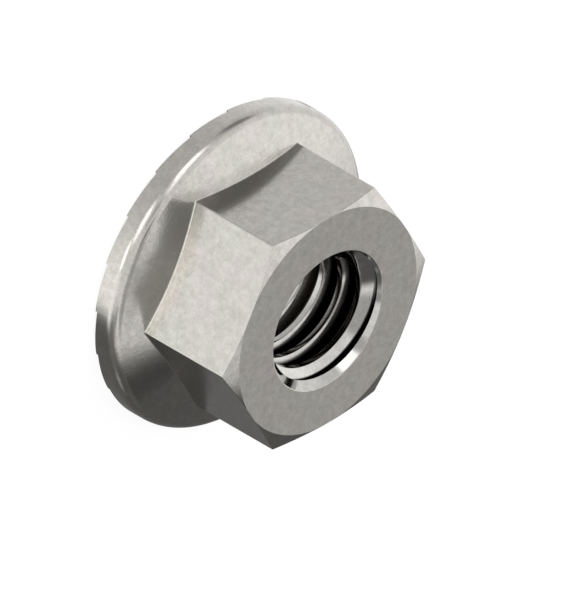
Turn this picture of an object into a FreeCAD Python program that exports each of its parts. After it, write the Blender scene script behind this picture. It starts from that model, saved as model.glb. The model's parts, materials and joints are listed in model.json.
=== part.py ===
import FreeCAD, Part

import math
import os

# Serrated hexagon flange nut, metric coarse thread of size 6, stainless steel.
#
# Millimetres. The nut stands on the tips of its locking teeth. Z is the axis
# of the thread, with the hexagon's free end up, and the origin is where that
# axis meets the plane of the tooth tips. The first flat of the hexagon faces +X.

# Driving dimensions of the hexagon
ACROSS_FLATS = 9.8
NUT_HEIGHT = 6.02
CHAMFER_CIRCLE = 9.83
CHAMFER_ANGLE = 18.0

# Driving dimensions of the flange
FLANGE_DIAMETER = 13.9
FLANGE_EDGE_HEIGHT = 1.025
FLANGE_SLOPE = 20.0
RIM_ROUNDING = 0.57

# Driving dimensions of the hole, bored to the thread's minor diameter
BORE_DIAMETER = 4.92
ENTRY_COUNTERSINK = 6.06
ENTRY_ANGLE = 78.0
BEARING_COUNTERSINK = 6.6
BEARING_ANGLE = 105.0

# Driving dimensions of the locking teeth, which let the nut turn clockwise on
# the bolt and bite when it is turned back
TOOTH_COUNT = 21
TOOTH_HEIGHT = 0.09
TOOTH_LAND = 0.12
FIRST_TOOTH = -3.3

# Worked out from the driving dimensions
FLAT_RADIUS = ACROSS_FLATS / 2
CORNER_RADIUS = FLAT_RADIUS / math.cos(math.pi / 6)
RIM_RADIUS = FLANGE_DIAMETER / 2
TOOTH_PITCH = 360.0 / TOOTH_COUNT

# How far a cutting shape reaches past the metal that it cuts
CLEAR = 1.0


def polar(radius, angle, height):
    """A point from its distance to the axis, its angle in degrees and its height."""
    turn = math.radians(angle)
    return FreeCAD.Vector(radius * math.cos(turn), radius * math.sin(turn), height)


def section(radius, height):
    """A point of a half section, which lies in the plane of X and Z."""
    return FreeCAD.Vector(radius, 0, height)


def turned(edges):
    """The solid that a closed half section sweeps in one turn about Z."""
    face = Part.Face(Part.Wire(edges))
    return face.revolve(FreeCAD.Vector(0, 0, 0), FreeCAD.Vector(0, 0, 1), 360)


def turned_polygon(points):
    """The same for a half section with straight sides only."""
    return turned(Part.makePolygon(points + points[:1]).Edges)


def solid_from(faces):
    """A solid from flat faces, each given by its corners."""
    sides = [Part.Face(Part.makePolygon(corners + corners[:1])) for corners in faces]
    solid = Part.Solid(Part.Shell(sides))
    if solid.Volume < 0:
        solid.reverse()
    return solid


def flange():
    """The disc under the hexagon: upright rim, rounded edge and a shallow cone."""
    slope = math.radians(FLANGE_SLOPE)
    # The rounding touches the rim and the cone this far from their sharp corner
    tangent = RIM_ROUNDING * math.tan((math.pi / 2 - slope) / 2)
    rim_top = section(RIM_RADIUS, FLANGE_EDGE_HEIGHT - tangent)
    cone_foot = section(
        RIM_RADIUS - tangent * math.cos(slope),
        FLANGE_EDGE_HEIGHT + tangent * math.sin(slope),
    )
    # The middle of the arc lies halfway between the two surfaces' normals
    halfway = (math.pi / 2 - slope) / 2
    rounding_middle = section(
        RIM_RADIUS - RIM_ROUNDING * (1 - math.cos(halfway)),
        rim_top.z + RIM_ROUNDING * math.sin(halfway),
    )
    # The cone runs on inside the hexagon, where it isn't seen
    buried_radius = BORE_DIAMETER / 2
    buried_height = FLANGE_EDGE_HEIGHT + (RIM_RADIUS - buried_radius) * math.tan(slope)
    cone_top = section(buried_radius, buried_height)
    axis_top = section(0, buried_height)
    axis_foot = section(0, 0)
    rim_foot = section(RIM_RADIUS, 0)
    return turned([
        Part.makeLine(axis_foot, rim_foot),
        Part.makeLine(rim_foot, rim_top),
        Part.Arc(rim_top, rounding_middle, cone_foot).toShape(),
        Part.makeLine(cone_foot, cone_top),
        Part.makeLine(cone_top, axis_top),
        Part.makeLine(axis_top, axis_foot),
    ])


def hexagon():
    """The hexagon, with its corners turned off to a shallow cone at the free end."""
    corners = [polar(CORNER_RADIUS, 30 + 60 * side, 0) for side in range(6)]
    outline = Part.Face(Part.makePolygon(corners + corners[:1]))
    prism = outline.extrude(FreeCAD.Vector(0, 0, NUT_HEIGHT))
    circle = CHAMFER_CIRCLE / 2
    reach = CORNER_RADIUS + CLEAR
    drop = (reach - circle) * math.tan(math.radians(CHAMFER_ANGLE))
    envelope = turned_polygon([
        section(0, -CLEAR),
        section(reach, -CLEAR),
        section(reach, NUT_HEIGHT - drop),
        section(circle, NUT_HEIGHT),
        section(0, NUT_HEIGHT),
    ])
    return prism.common(envelope)


def hole():
    """The through hole with a countersink at each end, as one shape to cut away."""
    bore = BORE_DIAMETER / 2
    entry = ENTRY_COUNTERSINK / 2
    bearing = BEARING_COUNTERSINK / 2
    # How much wider each cone grows for a millimetre of height
    entry_flare = math.tan(math.radians(ENTRY_ANGLE / 2))
    bearing_flare = math.tan(math.radians(BEARING_ANGLE / 2))
    entry_depth = (entry - bore) / entry_flare
    bearing_depth = (bearing - bore) / bearing_flare
    # Each cone is carried on past its face, so that the cut leaves a clean edge
    return turned_polygon([
        section(0, -CLEAR),
        section(bearing + CLEAR * bearing_flare, -CLEAR),
        section(bore, bearing_depth),
        section(bore, NUT_HEIGHT - entry_depth),
        section(entry + CLEAR * entry_flare, NUT_HEIGHT + CLEAR),
        section(0, NUT_HEIGHT + CLEAR),
    ])


def tooth_gap(number):
    """The metal missing between two teeth: a steep wall, then a ramp to the next tip.

    Every side but the lowest passes through the axis at the tips' plane, so a
    gap grows deeper and wider evenly towards the rim.
    """
    wall = FIRST_TOOTH + TOOTH_PITCH * number
    tip = wall + TOOTH_PITCH * (1 - TOOTH_LAND)
    reach = RIM_RADIUS + CLEAR
    depth = TOOTH_HEIGHT * reach / RIM_RADIUS
    centre = polar(0, 0, 0)
    root = polar(reach, wall, depth)
    land = polar(reach, tip, 0)
    down = FreeCAD.Vector(0, 0, -CLEAR)
    root_below = polar(reach, wall, 0) + down
    return solid_from([
        [centre, root, land],
        [centre, centre + down, root_below, root],
        [centre, land, land + down, centre + down],
        [root, root_below, land + down, land],
        [centre + down, land + down, root_below],
    ])


def flange_nut():
    """The whole nut, one solid."""
    nut = flange().fuse(hexagon()).cut(hole())
    nut = nut.cut([tooth_gap(number) for number in range(TOOTH_COUNT)])
    nut = nut.removeSplitter()
    return nut.Solids[0] if len(nut.Solids) == 1 else nut


os.makedirs("parts", exist_ok=True)
nut = flange_nut()
box = nut.BoundBox
print("flange_nut: %d solid, valid %s, %d faces" % (len(nut.Solids), nut.isValid(), len(nut.Faces)))
print("size %.3f x %.3f x %.3f mm" % (box.XLength, box.YLength, box.ZLength))
print("volume %.2f mm3" % nut.Volume)
nut.exportStep("parts/flange_nut.step")
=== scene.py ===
# %% [markdown]
# # A serrated hexagon flange nut
#
# The object is a small stainless steel nut with a washer-like flange in one piece
# with it. It has a metric thread with a pitch of 1 mm, a countersink at each end
# and a ring of ratchet teeth underneath, which bite into the surface that the nut
# is tightened against. This lesson builds the whole nut as one closed mesh,
# section by section round its axis, and then gives it its metal, light and view.

import json
import math

import bmesh
import bpy
import numpy as np
from mathutils import Matrix, Vector


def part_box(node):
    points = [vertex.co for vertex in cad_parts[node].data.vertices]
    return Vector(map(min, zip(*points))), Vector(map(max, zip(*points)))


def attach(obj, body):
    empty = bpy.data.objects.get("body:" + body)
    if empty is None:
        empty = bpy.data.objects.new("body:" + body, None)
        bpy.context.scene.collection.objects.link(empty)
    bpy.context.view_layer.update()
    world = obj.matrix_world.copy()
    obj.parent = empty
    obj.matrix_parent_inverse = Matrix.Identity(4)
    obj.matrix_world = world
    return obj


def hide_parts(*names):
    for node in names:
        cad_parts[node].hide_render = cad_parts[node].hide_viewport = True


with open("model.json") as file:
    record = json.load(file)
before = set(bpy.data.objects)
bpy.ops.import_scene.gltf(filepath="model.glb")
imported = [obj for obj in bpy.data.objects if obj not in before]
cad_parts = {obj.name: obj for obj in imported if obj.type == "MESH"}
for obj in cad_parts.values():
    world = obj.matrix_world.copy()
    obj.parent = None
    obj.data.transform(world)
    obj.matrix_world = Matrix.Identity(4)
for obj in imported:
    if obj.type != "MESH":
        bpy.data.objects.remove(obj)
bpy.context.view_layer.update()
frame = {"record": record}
MM = 0.001

# %% [markdown]
# The main sizes of a standard nut hang together. The height, the flange's
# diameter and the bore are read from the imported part, so that the dressed nut
# fits it exactly. The rest are the nut's own dimensions, in millimetres, with its
# angles in degrees. The thread is a metric one: every size of its turns follows
# from its pitch.

# %% The nut's dimensions
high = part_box("flange_nut")[1]
NUT_HEIGHT = high.z / MM
RIM_RADIUS = high.x / MM
ACROSS_FLATS = 9.8
CHAMFER_CIRCLE = 9.83
CHAMFER_ANGLE = math.radians(18)
FLANGE_EDGE_HEIGHT = 1.025
FLANGE_SLOPE = math.radians(20)
RIM_ROUNDING = 0.57
ENTRY_COUNTERSINK = 6.06
BEARING_COUNTERSINK = 6.6
ENTRY_ANGLE = math.radians(78)
BEARING_ANGLE = math.radians(105)

FLAT_RADIUS = ACROSS_FLATS / 2
CORNER_RADIUS = FLAT_RADIUS / math.cos(math.pi / 6)
print("height %.2f, flange %.2f, across corners %.2f mm"
      % (NUT_HEIGHT, 2 * RIM_RADIUS, 2 * CORNER_RADIUS))

# %% [markdown]
# On a forged nut no edge is a knife edge: tumbling leaves each one with a radius
# of a few hundredths of a millimetre, and that thin round is what catches the
# light as a bright line. The mesh is made of radial sections, one for each
# column of vertices round the axis, so the helper below rounds one corner of all
# the sections at once. Where a straight side is too short for the radius, the
# arc shrinks to fit it.

# %% A helper that rounds a corner of every section
MOST_OF_A_SIDE = 0.45
HAIR = 1e-6
NEXT_TO_NOTHING = 1e-9


def rounded(before, corner, after, radius, steps):
    """Rows of points on an arc; each point argument has a radius and a height per column."""
    toward = before - corner
    onward = after - corner
    toward_length = np.linalg.norm(toward, axis=1, keepdims=True)
    onward_length = np.linalg.norm(onward, axis=1, keepdims=True)
    toward = toward / np.maximum(toward_length, NEXT_TO_NOTHING)
    onward = onward / np.maximum(onward_length, NEXT_TO_NOTHING)
    between = np.arccos(np.clip((toward * onward).sum(axis=1, keepdims=True), -1, 1))
    room = MOST_OF_A_SIDE * np.minimum(toward_length, onward_length)
    tangent = np.minimum(radius / np.tan(between / 2), room)
    fitted = tangent * np.tan(between / 2)
    halfway = toward + onward
    halfway_length = np.linalg.norm(halfway, axis=1, keepdims=True)
    halfway = halfway / np.maximum(halfway_length, NEXT_TO_NOTHING)
    centre = corner + halfway * fitted / np.sin(between / 2)
    start = corner + toward * tangent
    end = corner + onward * tangent
    rows = []
    for step in range(steps + 1):
        share = step / steps
        chord = start + (end - start) * share - centre
        length = np.maximum(np.linalg.norm(chord, axis=1, keepdims=True), NEXT_TO_NOTHING)
        arc_point = centre + chord / length * fitted
        rows.append(np.where(fitted > HAIR, arc_point, corner))
    return rows

# %% [markdown]
# The columns stand one degree apart, which keeps every circle of the nut round
# to a fraction of a thousandth of a millimetre. Two features need columns of
# their own: the rounded upright edges of the hexagon, and the steep wall of each
# ratchet tooth, where one column stands on the tip and the next at the root.

# %% The angles of the columns
TOOTH_COUNT = 21
TOOTH_PITCH = 360 / TOOTH_COUNT
FIRST_TOOTH = -3.3
TOOTH_LAND = 0.12
TOOTH_HEIGHT = 0.09
WALL_WIDTH = 0.06
HEX_EDGE_ROUND = 0.07

edge_centre = CORNER_RADIUS - HEX_EDGE_ROUND / math.sin(math.pi / 3)
edge_reach = math.degrees(math.atan2(
    HEX_EDGE_ROUND / 2, CORNER_RADIUS - HEX_EDGE_ROUND / math.tan(math.pi / 3) / 2))
edge_angles = [30 + 60 * corner + edge_reach * share
               for corner in range(6) for share in (-1, -0.5, 0, 0.5, 1)]
wall_angles = [FIRST_TOOTH + TOOTH_PITCH * tooth + side * WALL_WIDTH
               for tooth in range(TOOTH_COUNT) for side in (-0.5, 0.5)]
ANGLES = np.array(sorted(
    {round(angle % 360, 4) for angle in [*range(360), *edge_angles, *wall_angles]}))
TURNS = np.radians(ANGLES)
print(len(ANGLES), "columns")


def points(radius, height):
    """One point per column from numbers or arrays."""
    blank = np.zeros(len(ANGLES))
    return np.stack([blank + radius, blank + height], axis=1)

# %% [markdown]
# Seen from above, the hexagon's side is a straight line in each sector of 60
# degrees: its distance from the axis grows with one over the cosine. Near a
# corner the small round takes over.

# %% How far out the hexagon reaches in each column
from_flat = np.radians((ANGLES + 30) % 60 - 30)
from_corner = np.radians(ANGLES % 60 - 30)
on_flat = FLAT_RADIUS / np.cos(from_flat)
inside_round = np.maximum(HEX_EDGE_ROUND ** 2 - (edge_centre * np.sin(from_corner)) ** 2, 0)
on_round = edge_centre * np.cos(from_corner) + np.sqrt(inside_round)
near_edge = np.abs(np.degrees(from_corner)) <= edge_reach + HAIR
hexagon_reach = np.where(near_edge, on_round, on_flat)
print("hexagon from %.3f to %.3f mm" % (hexagon_reach.min(), hexagon_reach.max()))

# %% [markdown]
# A ratchet tooth is a ramp and a wall. Every ramp is a flat face that passes
# through the axis, so the teeth are deepest at the rim. The ramps lead when the
# nut is screwed down, and the walls bite when it is turned back.

# %% The height of the teeth's surface at the rim in each column
along_tooth = ((ANGLES - FIRST_TOOTH) / TOOTH_PITCH) % 1
ramp_end = math.radians(TOOTH_PITCH * (1 - TOOTH_LAND))
ramp = np.sin(ramp_end - np.radians(along_tooth * TOOTH_PITCH)) / math.sin(ramp_end)
tooth_surface = TOOTH_HEIGHT * np.clip(ramp, 0, 1)
print("teeth up to %.3f mm deep" % tooth_surface.max())

# %% [markdown]
# The outside of a section runs from the bearing face out to the rim, up and over
# the rounded flange edge, along the flange's cone to the hexagon, up the flat and
# over the turned corner to the top face. Each corner gets its own radius: large
# on the rolled flange edge, tiny on the others.

# %% The outside of the sections
EDGE_ROUND = 0.035
FILLET = 0.06
MOUTH_ROUND = 0.05
DOWN_THE_CONE = 1

cone_slope = math.tan(FLANGE_SLOPE)
entry_slope = math.tan(ENTRY_ANGLE / 2)
bearing_slope = math.tan(BEARING_ANGLE / 2)
entry_radius = ENTRY_COUNTERSINK / 2
bearing_radius = BEARING_COUNTERSINK / 2
chamfer_radius = CHAMFER_CIRCLE / 2

bearing_mouth_radius = bearing_radius / (1 + bearing_slope * tooth_surface / RIM_RADIUS)
bearing_mouth = points(
    bearing_mouth_radius, tooth_surface * bearing_mouth_radius / RIM_RADIUS)
rim_foot = points(RIM_RADIUS, tooth_surface)
rim_edge = points(RIM_RADIUS, FLANGE_EDGE_HEIGHT)
cone_end = points(hexagon_reach,
                  FLANGE_EDGE_HEIGHT + (RIM_RADIUS - hexagon_reach) * cone_slope)
chamfer_start = np.minimum(chamfer_radius, hexagon_reach)
flat_top = points(
    hexagon_reach, NUT_HEIGHT - (hexagon_reach - chamfer_start) * math.tan(CHAMFER_ANGLE))
top_edge = points(chamfer_start, NUT_HEIGHT)
mouth = points(entry_radius, NUT_HEIGHT)
below_mouth = points(
    entry_radius - DOWN_THE_CONE * entry_slope, NUT_HEIGHT - DOWN_THE_CONE)

outside = [bearing_mouth]
outside += rounded(bearing_mouth, rim_foot, rim_edge, EDGE_ROUND, steps=2)
outside += rounded(rim_foot, rim_edge, cone_end, RIM_ROUNDING, steps=12)
outside += rounded(rim_edge, cone_end, flat_top, FILLET, steps=4)
outside += rounded(cone_end, flat_top, top_edge, EDGE_ROUND, steps=3)
outside += rounded(flat_top, top_edge, mouth, EDGE_ROUND, steps=2)
outside += rounded(top_edge, mouth, below_mouth, MOUTH_ROUND, steps=3)
print(len(outside), "rows outside")

# %% [markdown]
# The thread is a groove that climbs one pitch in each turn. In the section it is
# a zigzag: a flat crest a quarter of a pitch wide, a flank at 30 degrees, a
# softly rounded root and a flank back. A helical cutter and a boolean would make
# it too, but rows of vertices that climb with the thread give cleaner edges. The
# profile below lists one turn from a crest's lower edge downwards, as shares of
# the pitch: how far down, and how far outside the crest. One crest's lower edge
# is measured, at one angle, and the climb of the thread gives all the others.
# Turns to spare above and below the nut are cut off in the next step.

# %% The profile of one turn of thread
PITCH = 1.0
THREAD_ANGLE = 225
THREAD_HEIGHT = 4.985
TURNS_ABOVE = 2
CREST_RADIUS = frame["record"]["mounts"][0]["dims"]["r_mm"]
FLANK = math.tan(math.pi / 6)
DEPTH = 5 / 8 * math.cos(math.pi / 6)
CREST = 1 / 4
ROOT_START = DEPTH * FLANK
ROOT_END = 1 - CREST - ROOT_START
CREST_BLEND = 0.012
ROOT_BLEND = 0.025

turn_profile = [
    (-CREST_BLEND, 0),
    (CREST_BLEND / 2, CREST_BLEND / 2 / FLANK),
    (ROOT_START - ROOT_BLEND, DEPTH - ROOT_BLEND / FLANK),
    (ROOT_START + ROOT_BLEND, DEPTH),
    (ROOT_END - ROOT_BLEND, DEPTH),
    (ROOT_END + ROOT_BLEND, DEPTH - ROOT_BLEND / FLANK),
    (1 - CREST - CREST_BLEND / 2, CREST_BLEND / 2 / FLANK),
    (1 - CREST + CREST_BLEND, 0),
]
turns = math.ceil(NUT_HEIGHT / PITCH) + TURNS_ABOVE + 1
climb = PITCH * (ANGLES - THREAD_ANGLE) / 360
start_height = THREAD_HEIGHT + climb + TURNS_ABOVE * PITCH
thread_rows = [points(CREST_RADIUS + PITCH * out, start_height - PITCH * (turn + down))
               for turn in range(turns) for down, out in turn_profile]
print("%d turns, %.2f mm deep" % (turns, PITCH * DEPTH))

# %% [markdown]
# The countersinks cut the first and last turns away. Where a straight stretch of
# the zigzag meets a countersink's cone, the section gets a vertex right at the
# crossing, so that the thread runs out in a sharp, true curve.

# %% The inside of the sections
highest = outside[-1][:, 1]
lowest = bearing_mouth[:, 1]


def countersinks(height):
    """Radius of the two cones at a height; the larger one counts."""
    entry = entry_radius - (NUT_HEIGHT - height) * entry_slope
    bearing = bearing_radius - height * bearing_slope
    return np.maximum(entry, bearing)


def bored(radius, height):
    """The wall at a height: thread or countersink, whichever takes more metal."""
    kept = np.clip(height, lowest, highest)
    return points(np.maximum(radius, countersinks(kept)), kept)


inside = []
for upper, lower in zip(thread_rows, thread_rows[1:]):
    upper_gap = countersinks(upper[:, 1]) - upper[:, 0]
    lower_gap = countersinks(lower[:, 1]) - lower[:, 0]
    crosses = upper_gap * lower_gap < 0
    share = np.where(crosses, upper_gap / np.where(crosses, upper_gap - lower_gap, 1), 0.5)
    meeting = upper + (lower - upper) * share[:, None]
    inside += [bored(row[:, 0], row[:, 1]) for row in (upper, meeting)]
print(len(inside), "rows inside")

# %% [markdown]
# Now the rows become a mesh. Each quad joins two neighbouring columns and two
# neighbouring rows. Inside the hole the rows climb, so at the end of the turn
# each row meets the one that started a pitch higher.

# %% Helpers that join rows into faces
def vertex_rows(rows):
    """Coordinates in metres, a row at a time."""
    radius = np.stack([row[:, 0] for row in rows])
    height = np.stack([row[:, 1] for row in rows])
    return np.stack([radius * np.cos(TURNS), radius * np.sin(TURNS), height], axis=2) * MM


def join_rows(mesh, rows, shift=0, material=0):
    """Vertices and quads of a stack of rows; the last column meets the first shift rows up."""
    grid = [[mesh.verts.new(place) for place in row] for row in vertex_rows(rows)]
    columns = len(ANGLES)
    for row in range(len(rows) - 1):
        for column in range(columns):
            following = (column + 1) % columns
            back = shift if following == 0 else 0
            if row - back < 0:
                continue
            face = mesh.faces.new([
                grid[row][column], grid[row - back][following],
                grid[row + 1 - back][following], grid[row + 1][column],
            ])
            face.material_index = material

# %% [markdown]
# Four stacks of rows make the nut: the outside, the inside, and the two seams
# where they meet. The inside gets the second material. Rows that the ends of the
# nut cut off have shrunk to single points, and merging them closes the mesh. A
# closed mesh has two faces on each of its edges, which is counted at the end.

# %% Build the nut's mesh
MERGE = 0.0015
SLIVER = MERGE / 10
ROWS_PER_TURN = 2 * len(turn_profile)

nut_mesh = bmesh.new()
join_rows(nut_mesh, outside)
join_rows(nut_mesh, inside, ROWS_PER_TURN, material=1)
join_rows(nut_mesh, [inside[-1], bearing_mouth])
join_rows(nut_mesh, [outside[-1], inside[0]])
bmesh.ops.remove_doubles(nut_mesh, verts=nut_mesh.verts, dist=MERGE * MM)
bmesh.ops.dissolve_degenerate(nut_mesh, edges=nut_mesh.edges, dist=SLIVER * MM)
bmesh.ops.recalc_face_normals(nut_mesh, faces=nut_mesh.faces)
open_edges = sum(1 for edge in nut_mesh.edges if len(edge.link_faces) != 2)
print(len(nut_mesh.faces), "faces,", open_edges, "edges not shared by two faces")

mesh_data = bpy.data.meshes.new("nut")
nut_mesh.to_mesh(mesh_data)
nut_mesh.free()
nut = bpy.data.objects.new("nut", mesh_data)
bpy.context.scene.collection.objects.link(nut)

# %% [markdown]
# Smooth shading blends the directions of neighbouring faces, which would bend
# the reflections all across the large flat ones. The Weighted Normal modifier
# cures that on larger things, but it can't tell the areas of faces this small
# apart. So the shading directions are worked out here: at each corner of a face,
# the faces round that vertex count by their area, and those that turn away by
# more than 40 degrees don't count. Flat faces then stay truly flat, and only the
# small rounds between them turn.

# %% Shading directions weighted by area
SHARP = math.radians(40)


def read_numbers(items, name, width, kind=float):
    """One attribute of many mesh items as an array."""
    values = np.empty(len(items) * width, dtype=kind)
    items.foreach_get(name, values)
    return values.reshape(-1, width) if width > 1 else values


mesh_data.shade_smooth()
corner_vertex = read_numbers(mesh_data.loops, "vertex_index", 1, int)
corner_face = np.repeat(np.arange(len(mesh_data.polygons)),
                        read_numbers(mesh_data.polygons, "loop_total", 1, int))
face_normal = read_numbers(mesh_data.polygons, "normal", 3)[corner_face]
face_area = read_numbers(mesh_data.polygons, "area", 1)[corner_face]
weighted = face_normal * face_area[:, None]
shading = weighted.copy()
# Sorted by vertex, the corners that share one stand side by side, and each step
# of the loop pairs those that stand one place further apart
by_vertex = np.argsort(corner_vertex, kind="stable")
for step in range(1, np.bincount(corner_vertex).max()):
    first, second = by_vertex[:-step], by_vertex[step:]
    smooth = ((corner_vertex[first] == corner_vertex[second])
              & ((face_normal[first] * face_normal[second]).sum(axis=1) > math.cos(SHARP)))
    first, second = first[smooth], second[smooth]
    np.add.at(shading, first, weighted[second])
    np.add.at(shading, second, weighted[first])
shading /= np.linalg.norm(shading, axis=1, keepdims=True)
mesh_data.normals_split_custom_set(shading.tolist())
print(len(shading), "shading directions")

# %% [markdown]
# The metal is austenitic stainless steel, cold formed and tumbled. Its colour is a
# light grey with a trace of warmth. Two helpers serve all the materials: one turns
# a colour as a screen shows it into the linear values that light adds up in, and
# one adds a node, fills or links its inputs and hands back an output.

# %% Helpers for materials
def linear(hex_colour):
    """A hex colour in sRGB as linear red, green, blue and alpha."""
    parts = [int(hex_colour[place:place + 2], 16) / 255 for place in (1, 3, 5)]
    return [part / 12.92 if part <= 0.04045 else ((part + 0.055) / 1.055) ** 2.4
            for part in parts] + [1]


def add_node(tree, kind, inputs=None, output=0, **settings):
    """Add a node with its settings and inputs, and give back one of its outputs."""
    made = tree.nodes.new(kind)
    for name, value in settings.items():
        setattr(made, name, value)
    in_use = [socket for socket in made.inputs if socket.enabled]
    for name, source in (inputs or {}).items():
        socket = next(socket for place, socket in enumerate(in_use) if name in (place, socket.name))
        if isinstance(source, bpy.types.NodeSocket):
            tree.links.new(source, socket)
        else:
            socket.default_value = source
    outputs = [socket for socket in made.outputs if socket.enabled]
    return next(socket for place, socket in enumerate(outputs) if output in (place, socket.name))

# %% [markdown]
# Tumbling in a drum of stones leaves a satin face: a cloudy grain, with blotches
# from a few hundredths to half a millimetre wide, and here and there a fine
# straight scratch. They change the tone by a few percent only, but without them
# the metal would look like plastic. The grain is a noise that is nearly as strong
# in its small steps as in its large ones. The scratches come first: a noise drawn
# out into long thin streaks, of which only the highest tops are kept. Real ones
# are a hundredth of a millimetre wide, and these are drawn coarser so that they
# show.

# %% The scratches
STREAK_WIDTH = 0.07
STREAK_LENGTH = 2.2
STREAK_TURNS = [(0.30, 0.25, 0.5), (1.45, 0.10, 0.9)]
STREAK_TOPS = (0.58, 0.8)


def streaks(tree, place, turn):
    """Sparse thin lines that all lie one way: 1 on a line, 0 between them."""
    lying = add_node(tree, "ShaderNodeMapping", {"Vector": place, "Rotation": turn})
    drawn_out = add_node(tree, "ShaderNodeVectorMath", {
        0: lying, 1: (1 / STREAK_WIDTH, 1 / STREAK_WIDTH, 1 / STREAK_LENGTH),
    }, operation="MULTIPLY")
    noise = add_node(tree, "ShaderNodeTexNoise", {"Vector": drawn_out, "Scale": 1, "Detail": 1})
    return add_node(tree, "ShaderNodeMapRange", {
        "Value": noise, "From Min": STREAK_TOPS[0], "From Max": STREAK_TOPS[1]})

# %% [markdown]
# Both finishes of the nut are the same steel, so one function makes the metal and
# takes what differs: its two greys, how smooth it is and how high its grain. The
# grain drives all three of colour, roughness and relief, as it does on the real
# surface. The scratches are cut into it, and are a little lighter than it.

# %% The grain of the steel
GRAIN_SIZE = 0.38
GRAIN_DETAIL = 4
GRAIN_ROUGHNESS = 0.85
GRAIN_TONES = (0.3, 0.7)
STREAK_DEPTH = 0.6
STREAK_LIGHTNESS = 0.12


def steel(name, dark, light, smooth, dull, grain_height):
    """A material with the grain in its relief and roughness, and what its colour is made from."""
    material = bpy.data.materials.new(name)
    material.use_nodes = True
    tree = material.node_tree
    shader = tree.nodes["Principled BSDF"]
    shader.inputs["Metallic"].default_value = 1
    metres = add_node(tree, "ShaderNodeTexCoord", output="Object")
    place = add_node(tree, "ShaderNodeVectorMath", {0: metres, "Scale": 1 / MM}, operation="SCALE")
    grain = add_node(tree, "ShaderNodeTexNoise", {
        "Vector": place, "Scale": 1 / GRAIN_SIZE,
        "Detail": GRAIN_DETAIL, "Roughness": GRAIN_ROUGHNESS})
    scratches = add_node(tree, "ShaderNodeMath", {
        0: streaks(tree, place, STREAK_TURNS[0]), 1: streaks(tree, place, STREAK_TURNS[1]),
    }, operation="MAXIMUM")
    relief = add_node(tree, "ShaderNodeMath", {0: scratches, 1: -STREAK_DEPTH, 2: grain},
                      operation="MULTIPLY_ADD")
    bump = add_node(tree, "ShaderNodeBump", {"Height": relief, "Distance": grain_height * MM})
    tree.links.new(bump, shader.inputs["Normal"])
    worn = add_node(tree, "ShaderNodeMath", {0: scratches, 1: STREAK_LIGHTNESS, 2: grain},
                    operation="MULTIPLY_ADD")
    clouded = add_node(tree, "ShaderNodeMapRange", {
        "Value": worn, "From Min": GRAIN_TONES[0], "From Max": GRAIN_TONES[1]})
    colour = add_node(tree, "ShaderNodeMix", {
        "Factor": clouded, "A": linear(dark), "B": linear(light)}, data_type="RGBA")
    roughness = add_node(tree, "ShaderNodeMapRange", {
        "Value": grain, "From Min": GRAIN_TONES[0], "From Max": GRAIN_TONES[1],
        "To Min": dull, "To Max": smooth})
    tree.links.new(roughness, shader.inputs["Roughness"])
    return material, tree, shader, place, colour


print("grain of %.2f mm, scratches %.2f mm wide" % (GRAIN_SIZE, STREAK_WIDTH))

# %% [markdown]
# The outside is the steel as it leaves the drum. The stones rub some spots longer
# than others, so besides the grain the tint drifts a little between warm and
# cool, in patches more than a millimetre wide. A second, larger noise mixes two
# tints that are close to white, and the colour is multiplied by their mix.

# %% The tumbled stainless steel
GRAIN_HEIGHT = 0.0012
DRIFT_SIZE = 1.25
WARM_TINT, COOL_TINT = "#FFF5F7", "#F2FAF0"


def tumbled_stainless_steel():
    """The outside: satin grain whose tint drifts a little between warm and cool."""
    material, tree, shader, place, colour = steel(
        "tumbled stainless steel", dark="#AAA8A5", light="#C3C1BE",
        smooth=0.12, dull=0.2, grain_height=GRAIN_HEIGHT)
    drift = add_node(tree, "ShaderNodeTexNoise", {
        "Vector": place, "Scale": 1 / DRIFT_SIZE, "Detail": GRAIN_DETAIL})
    tint = add_node(tree, "ShaderNodeMix", {
        "Factor": drift, "A": linear(WARM_TINT), "B": linear(COOL_TINT)}, data_type="RGBA")
    tinted = add_node(tree, "ShaderNodeMix", {"Factor": 1.0, "A": colour, "B": tint},
                      data_type="RGBA", blend_type="MULTIPLY")
    tree.links.new(tinted, shader.inputs["Base Color"])
    return material


outside_finish = tumbled_stainless_steel()
print(outside_finish.name, "with", len(outside_finish.node_tree.nodes), "nodes")

# %% [markdown]
# The thread is tapped after the nut is formed, and the tap leaves its grooves matt. Little light
# reaches deep into them, so their shade is painted into the colour as near black, while the flanks
# beside the crests stay bright. So the painted shade follows the depth: how far a point lies
# outside the crests, or outside the countersink's cone where that is wider.

# %% Where a point lies in the hole
def place_in_hole(tree, place):
    """Height, distance from the axis, and depth behind the crests and the countersink."""
    height = add_node(tree, "ShaderNodeSeparateXYZ", {"Vector": place}, output="Z")
    level = add_node(tree, "ShaderNodeVectorMath", {0: place, 1: (1, 1, 0)},
                     operation="MULTIPLY")
    radius = add_node(tree, "ShaderNodeVectorMath", {0: level}, output="Value",
                      operation="LENGTH")
    cone = add_node(tree, "ShaderNodeMath", {
        0: height, 1: entry_slope, 2: entry_radius - NUT_HEIGHT * entry_slope,
    }, operation="MULTIPLY_ADD")
    inner_wall = add_node(tree, "ShaderNodeMath", {0: cone, 1: CREST_RADIUS},
                          operation="MAXIMUM")
    depth = add_node(tree, "ShaderNodeMath", {0: radius, 1: inner_wall},
                     operation="SUBTRACT")
    return height, radius, depth
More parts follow.
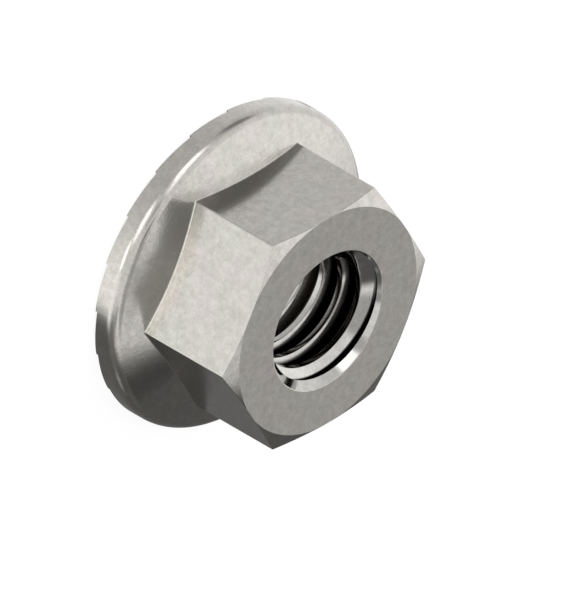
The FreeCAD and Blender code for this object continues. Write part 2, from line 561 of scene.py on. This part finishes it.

# %% [markdown]
# Three rules place the painted shade. In the deep turns it starts a little behind the crest and is
# full halfway to the root. In the top turn, which the countersink opens, only the far end of the
# groove is painted black, and less of it as the thread climbs out: the shade's edge there runs
# through two points, each given by its height and its distance from the axis. The crests themselves
# get painted shade too, which fades out on the way down. Down there, where light comes in through
# the open bottom of the hole, the painted shade in the grooves is a lighter grey as well.

# %% The painted shade in the hole
# Painted shade in the grooves: where it starts, where it is full, and its edge in the open top
# turn.
SHADE_STARTS = 0.06
SHADE_FULL = 0.28
OFF_THE_CONE = 0.005
OPEN_TURN = NUT_HEIGHT - 1.05
OPEN_TURN_BLEND = 0.1
OPEN_EDGE_LOW = (NUT_HEIGHT - 0.60, 2.80)
OPEN_EDGE_HIGH = (NUT_HEIGHT - 0.17, 3.03)
OPEN_EDGE_BLEND = 0.07
# Painted shade on the crests, strongest toward the entry and fading out lower down.
CREST_SHADE_HEIGHTS = (NUT_HEIGHT - 3.1, NUT_HEIGHT - 1.6)
CREST_SHADE_STRENGTH = 0.97
CREST_SHADE_EDGE = (CREST_RADIUS + 0.015, CREST_RADIUS + 0.005)


def painted_groove_shade(tree, height, radius, depth):
    """How much painted shade covers the grooves: 0 none, 1 full."""
    deep = add_node(tree, "ShaderNodeMapRange", {
        "Value": depth, "From Min": SHADE_STARTS, "From Max": SHADE_FULL,
    }, interpolation_type="SMOOTHSTEP")
    off_the_cone = add_node(tree, "ShaderNodeMapRange", {
        "Value": depth, "From Min": OFF_THE_CONE, "From Max": SHADE_STARTS})
    edge = add_node(tree, "ShaderNodeMapRange", {
        "Value": height, "From Min": OPEN_EDGE_LOW[0], "From Max": OPEN_EDGE_HIGH[0],
        "To Min": OPEN_EDGE_LOW[1], "To Max": OPEN_EDGE_HIGH[1]})
    past_edge = add_node(tree, "ShaderNodeMath", {0: radius, 1: edge}, operation="SUBTRACT")
    opened = add_node(tree, "ShaderNodeMapRange", {
        "Value": past_edge, "From Max": OPEN_EDGE_BLEND, "To Max": off_the_cone,
    }, interpolation_type="SMOOTHSTEP")
    in_open_turn = add_node(tree, "ShaderNodeMapRange", {
        "Value": height, "From Min": OPEN_TURN - OPEN_TURN_BLEND,
        "From Max": OPEN_TURN + OPEN_TURN_BLEND})
    return add_node(tree, "ShaderNodeMix", {"Factor": in_open_turn, "A": deep, "B": opened})


def painted_crest_shade(tree, height, radius):
    """How much painted shade covers the crests."""
    toward_entry = add_node(tree, "ShaderNodeMapRange", {
        "Value": height, "From Min": CREST_SHADE_HEIGHTS[0],
        "From Max": CREST_SHADE_HEIGHTS[1], "To Max": CREST_SHADE_STRENGTH})
    return add_node(tree, "ShaderNodeMapRange", {
        "Value": radius, "From Min": CREST_SHADE_EDGE[0], "From Max": CREST_SHADE_EDGE[1],
        "To Max": toward_entry})


print("film from %.2f mm behind the crests, full at %.2f mm" % (SHADE_STARTS, SHADE_FULL))

# %% [markdown]
# The metal in the hole is the same steel, but a cutting edge has passed over it and the stones
# haven't, so it is smoother and its grain is shallower. That gives the countersink and the flanks
# their sharp, bright reflections. Where shade is painted in, the colour is nearly black, and the
# metal is matt there.

# %% The cut thread
CUT_GRAIN_HEIGHT = 0.0004
SHADED_GROOVE_ROUGHNESS = 0.3
# Heights over which the painted shade turns from lit grey to black.
SHADE_DARKENING_HEIGHTS = (2.3, 3.1)
# Colours of the painted shade in the grooves: a lighter grey near the bottom, where light comes in
# through the open end, and black higher up.
SHADE_LIT_FROM_BELOW, DEEP_SHADE = "#6E6860", "#070606"
# The colour of the painted shade on the crests.
CREST_SHADE_COLOUR = "#2C2A28"


def cut_thread():
    """The inside: bright flanks and countersinks, and painted shade in the grooves."""
    material, tree, shader, place, colour = steel(
        "cut thread", dark="#ABA9A6", light="#C1C0BC",
        smooth=0.07, dull=0.11, grain_height=CUT_GRAIN_HEIGHT)
    height, radius, depth = place_in_hole(tree, place)
    # Painted shade darkens the grooves, which are also made matt.
    groove_shade = painted_groove_shade(tree, height, radius, depth)
    shade_darkening = add_node(tree, "ShaderNodeMapRange", {
        "Value": height, "From Min": SHADE_DARKENING_HEIGHTS[0], "From Max": SHADE_DARKENING_HEIGHTS[1]})
    shade_colour = add_node(tree, "ShaderNodeMix", {
        "Factor": shade_darkening, "A": linear(SHADE_LIT_FROM_BELOW), "B": linear(DEEP_SHADE)}, data_type="RGBA")
    in_grooves = add_node(tree, "ShaderNodeMix", {"Factor": groove_shade, "A": colour, "B": shade_colour},
                          data_type="RGBA")
    on_crests = add_node(tree, "ShaderNodeMix", {
        "Factor": painted_crest_shade(tree, height, radius), "A": in_grooves, "B": linear(CREST_SHADE_COLOUR),
    }, data_type="RGBA")
    tree.links.new(on_crests, shader.inputs["Base Color"])
    bare = shader.inputs["Roughness"].links[0].from_socket
    matt = add_node(tree, "ShaderNodeMix", {"Factor": groove_shade, "A": bare, "B": SHADED_GROOVE_ROUGHNESS})
    tree.links.new(matt, shader.inputs["Roughness"])
    return material


inside_finish = cut_thread()
print(inside_finish.name, "with", len(inside_finish.node_tree.nodes), "nodes")

# %% [markdown]
# The nut gets both materials, in the order in which its faces were numbered. It then takes the
# place of the imported solid and moves with its body.

# %% Dress the nut
nut.data.materials.append(outside_finish)
nut.data.materials.append(inside_finish)
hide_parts("flange_nut")
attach(nut, "root")
print([material.name for material in nut.data.materials])

# %% [markdown]
# The nut stands on plain white paper. A soft glow brings the paper close to
# white in the picture, and the rest is left to the light, so that the nut still
# casts its faint shadow on it. Reflections look past the paper at the lower half
# of the light tent, which is described below.

# %% The floor
FLOOR_REACH = 400 * MM
PAPER_GREY, PAPER_WHITE = "#6F6F6F", "#FFFFFF"
PAPER_ROUGHNESS = 0.9
PAPER_GLOW = 0.85

floor_mesh = bpy.data.meshes.new("floor")
floor_mesh.from_pydata(
    [(x * FLOOR_REACH, y * FLOOR_REACH, 0) for x, y in ((-1, -1), (1, -1), (1, 1), (-1, 1))],
    [], [(0, 1, 2, 3)])
floor = bpy.data.objects.new("floor", floor_mesh)
bpy.context.scene.collection.objects.link(floor)
floor.visible_glossy = False

paper = bpy.data.materials.new("white paper")
paper.use_nodes = True
sheet = paper.node_tree.nodes["Principled BSDF"]
sheet.inputs["Base Color"].default_value = linear(PAPER_GREY)
sheet.inputs["Roughness"].default_value = PAPER_ROUGHNESS
sheet.inputs["Emission Color"].default_value = linear(PAPER_WHITE)
sheet.inputs["Emission Strength"].default_value = PAPER_GLOW
floor_mesh.materials.append(paper)
print("paper %.0f mm wide" % (2 * FLOOR_REACH / MM))

# %% [markdown]
# Metal has hardly a colour of its own: what the eye sees on it is the room. The
# faces of the nut are small mirrors, and each one shows how bright the studio
# is in one direction. A picture of a studio could light the scene, but the soft
# panels of a plain light tent are simple enough to describe: where each stands
# in degrees round the nut and above the floor, half its width, how softly it
# ends, and how bright it is. Each is painted over the ones before it. They were
# fitted to the tones of the nut's faces in the photograph, and then rounded. The
# open end of the tent is dark, and gives the metal its contrast.

# %% The panels of the light tent
TENT = 1.2
PANELS = [
    ("left wall", -60, -20, 60, 30, 1.2),
    ("white card high on the left", -105, 45, 27, 10, 1.5),
    ("white card on the right", 100, -18, 21, 20, 1.7),
    ("its brightest part", 72, -9, 5, 7, 3.2),
    ("grey table edge", -3, -10, 48, 20, 0.83),
    ("dark gap beside the table", -36, 5, 9, 9, 0.33),
    ("grey ceiling", 145, 69, 17, 4, 0.65),
    ("its darker end", 66, 72, 7, 4, 0.35),
    ("ceiling behind the camera", -138, 47, 19, 4, 0.65),
    ("large soft box", 2, 30, 9, 9, 3.0),
    ("small soft box", 49, 11, 9, 9, 2.7),
    ("open end of the tent", 178, -14, 58, 7, 0.18),
    ("darkest part of the open end", -172, 17, 32, 4, 0.15),
    ("side of the open end", 127, 10, 13, 13, 0.27),
    ("top of the soft box", 12, 43, 9, 4, 2.1),
    ("grey above the small soft box", 39, 46, 9, 5, 0.7),
    ("seam in the tent", 119, 33, 6, 4, 0.5),
    ("hem over the open end", -169, 39, 4, 4, 0.07),
    ("pale strip in the open end", 156, 7, 5, 5, 0.5),
    ("its faint end", 177, 18, 4, 4, 0.2),
]
print(len(PANELS), "panels round the nut")

# %% [markdown]
# The world's shader paints the panels. How near a direction lies to a panel's
# middle is the cosine of the angle between them, so a dot product and two limits
# give each panel a soft round edge. The camera itself sees plain white past the
# paper.

# %% The light tent
WHITE = 1.0

world = bpy.data.worlds.new("light tent")
bpy.context.scene.world = world
world.use_nodes = True
sky = world.node_tree
direction = add_node(sky, "ShaderNodeTexCoord", output="Generated")
light = TENT
for name, azimuth, elevation, half_width, softness, brightness in PANELS:
    azimuth = math.radians(azimuth)
    elevation = math.radians(elevation)
    centre = (math.cos(elevation) * math.cos(azimuth),
              math.cos(elevation) * math.sin(azimuth), math.sin(elevation))
    nearness = add_node(sky, "ShaderNodeVectorMath", {0: direction, 1: centre}, output="Value",
                        operation="DOT_PRODUCT", label=name)
    cover = add_node(sky, "ShaderNodeMapRange", {
        "Value": nearness,
        "From Min": math.cos(math.radians(half_width + softness)),
        "From Max": math.cos(math.radians(max(half_width - softness, 0))),
    }, interpolation_type="SMOOTHSTEP")
    light = add_node(sky, "ShaderNodeMix", {"Factor": cover, "A": light, "B": brightness})
seen = add_node(sky, "ShaderNodeLightPath", output="Is Camera Ray")
tone = add_node(sky, "ShaderNodeMix", {"Factor": seen, "A": light, "B": WHITE})
sky.links.new(tone, sky.nodes["Background"].inputs["Color"])
print(len(sky.nodes), "nodes in the world's shader")

# %% [markdown]
# The camera looks along the diagonal of the three axes with parallel rays, as in
# an isometric drawing, and it is turned on its side, so that the nut's axis runs
# down to the right. The hexagon gives the scale: in the picture its corners lie
# 144 pixels from its middle.

# %% The camera
IMAGE_WIDTH, IMAGE_HEIGHT = 577, 602
CORNER_RADIUS_PIXELS = 144.18
ORIGIN_IN_PICTURE = (219.4, 258.4)
CAMERA_DISTANCE = 60 * MM
NEAREST_SEEN, FARTHEST_SEEN = 1 * MM, 2000 * MM

pixel = CORNER_RADIUS * MM / CORNER_RADIUS_PIXELS
right = Vector((0, -1, 1)).normalized()
back = Vector((1, 1, 1)).normalized()
up = back.cross(right)
aim = (right * (IMAGE_WIDTH / 2 - ORIGIN_IN_PICTURE[0])
       + up * (ORIGIN_IN_PICTURE[1] - IMAGE_HEIGHT / 2)) * pixel
stand = aim + back * CAMERA_DISTANCE

camera_data = bpy.data.cameras.new("camera")
camera_data.type = "ORTHO"
camera_data.ortho_scale = IMAGE_HEIGHT * pixel
camera_data.clip_start = NEAREST_SEEN
camera_data.clip_end = FARTHEST_SEEN
camera = bpy.data.objects.new("camera", camera_data)
bpy.context.scene.collection.objects.link(camera)
camera.matrix_world = Matrix((right, up, back)).transposed().to_4x4()
camera.matrix_world.translation = stand
bpy.context.scene.camera = camera
print("camera at", [round(value / MM, 2) for value in stand])

# %% [markdown]
# The view keeps the plain Standard transform, so that white paper stays white and the greys come
# out as they are set.

# %% The view
bpy.context.scene.view_settings.view_transform = "Standard"
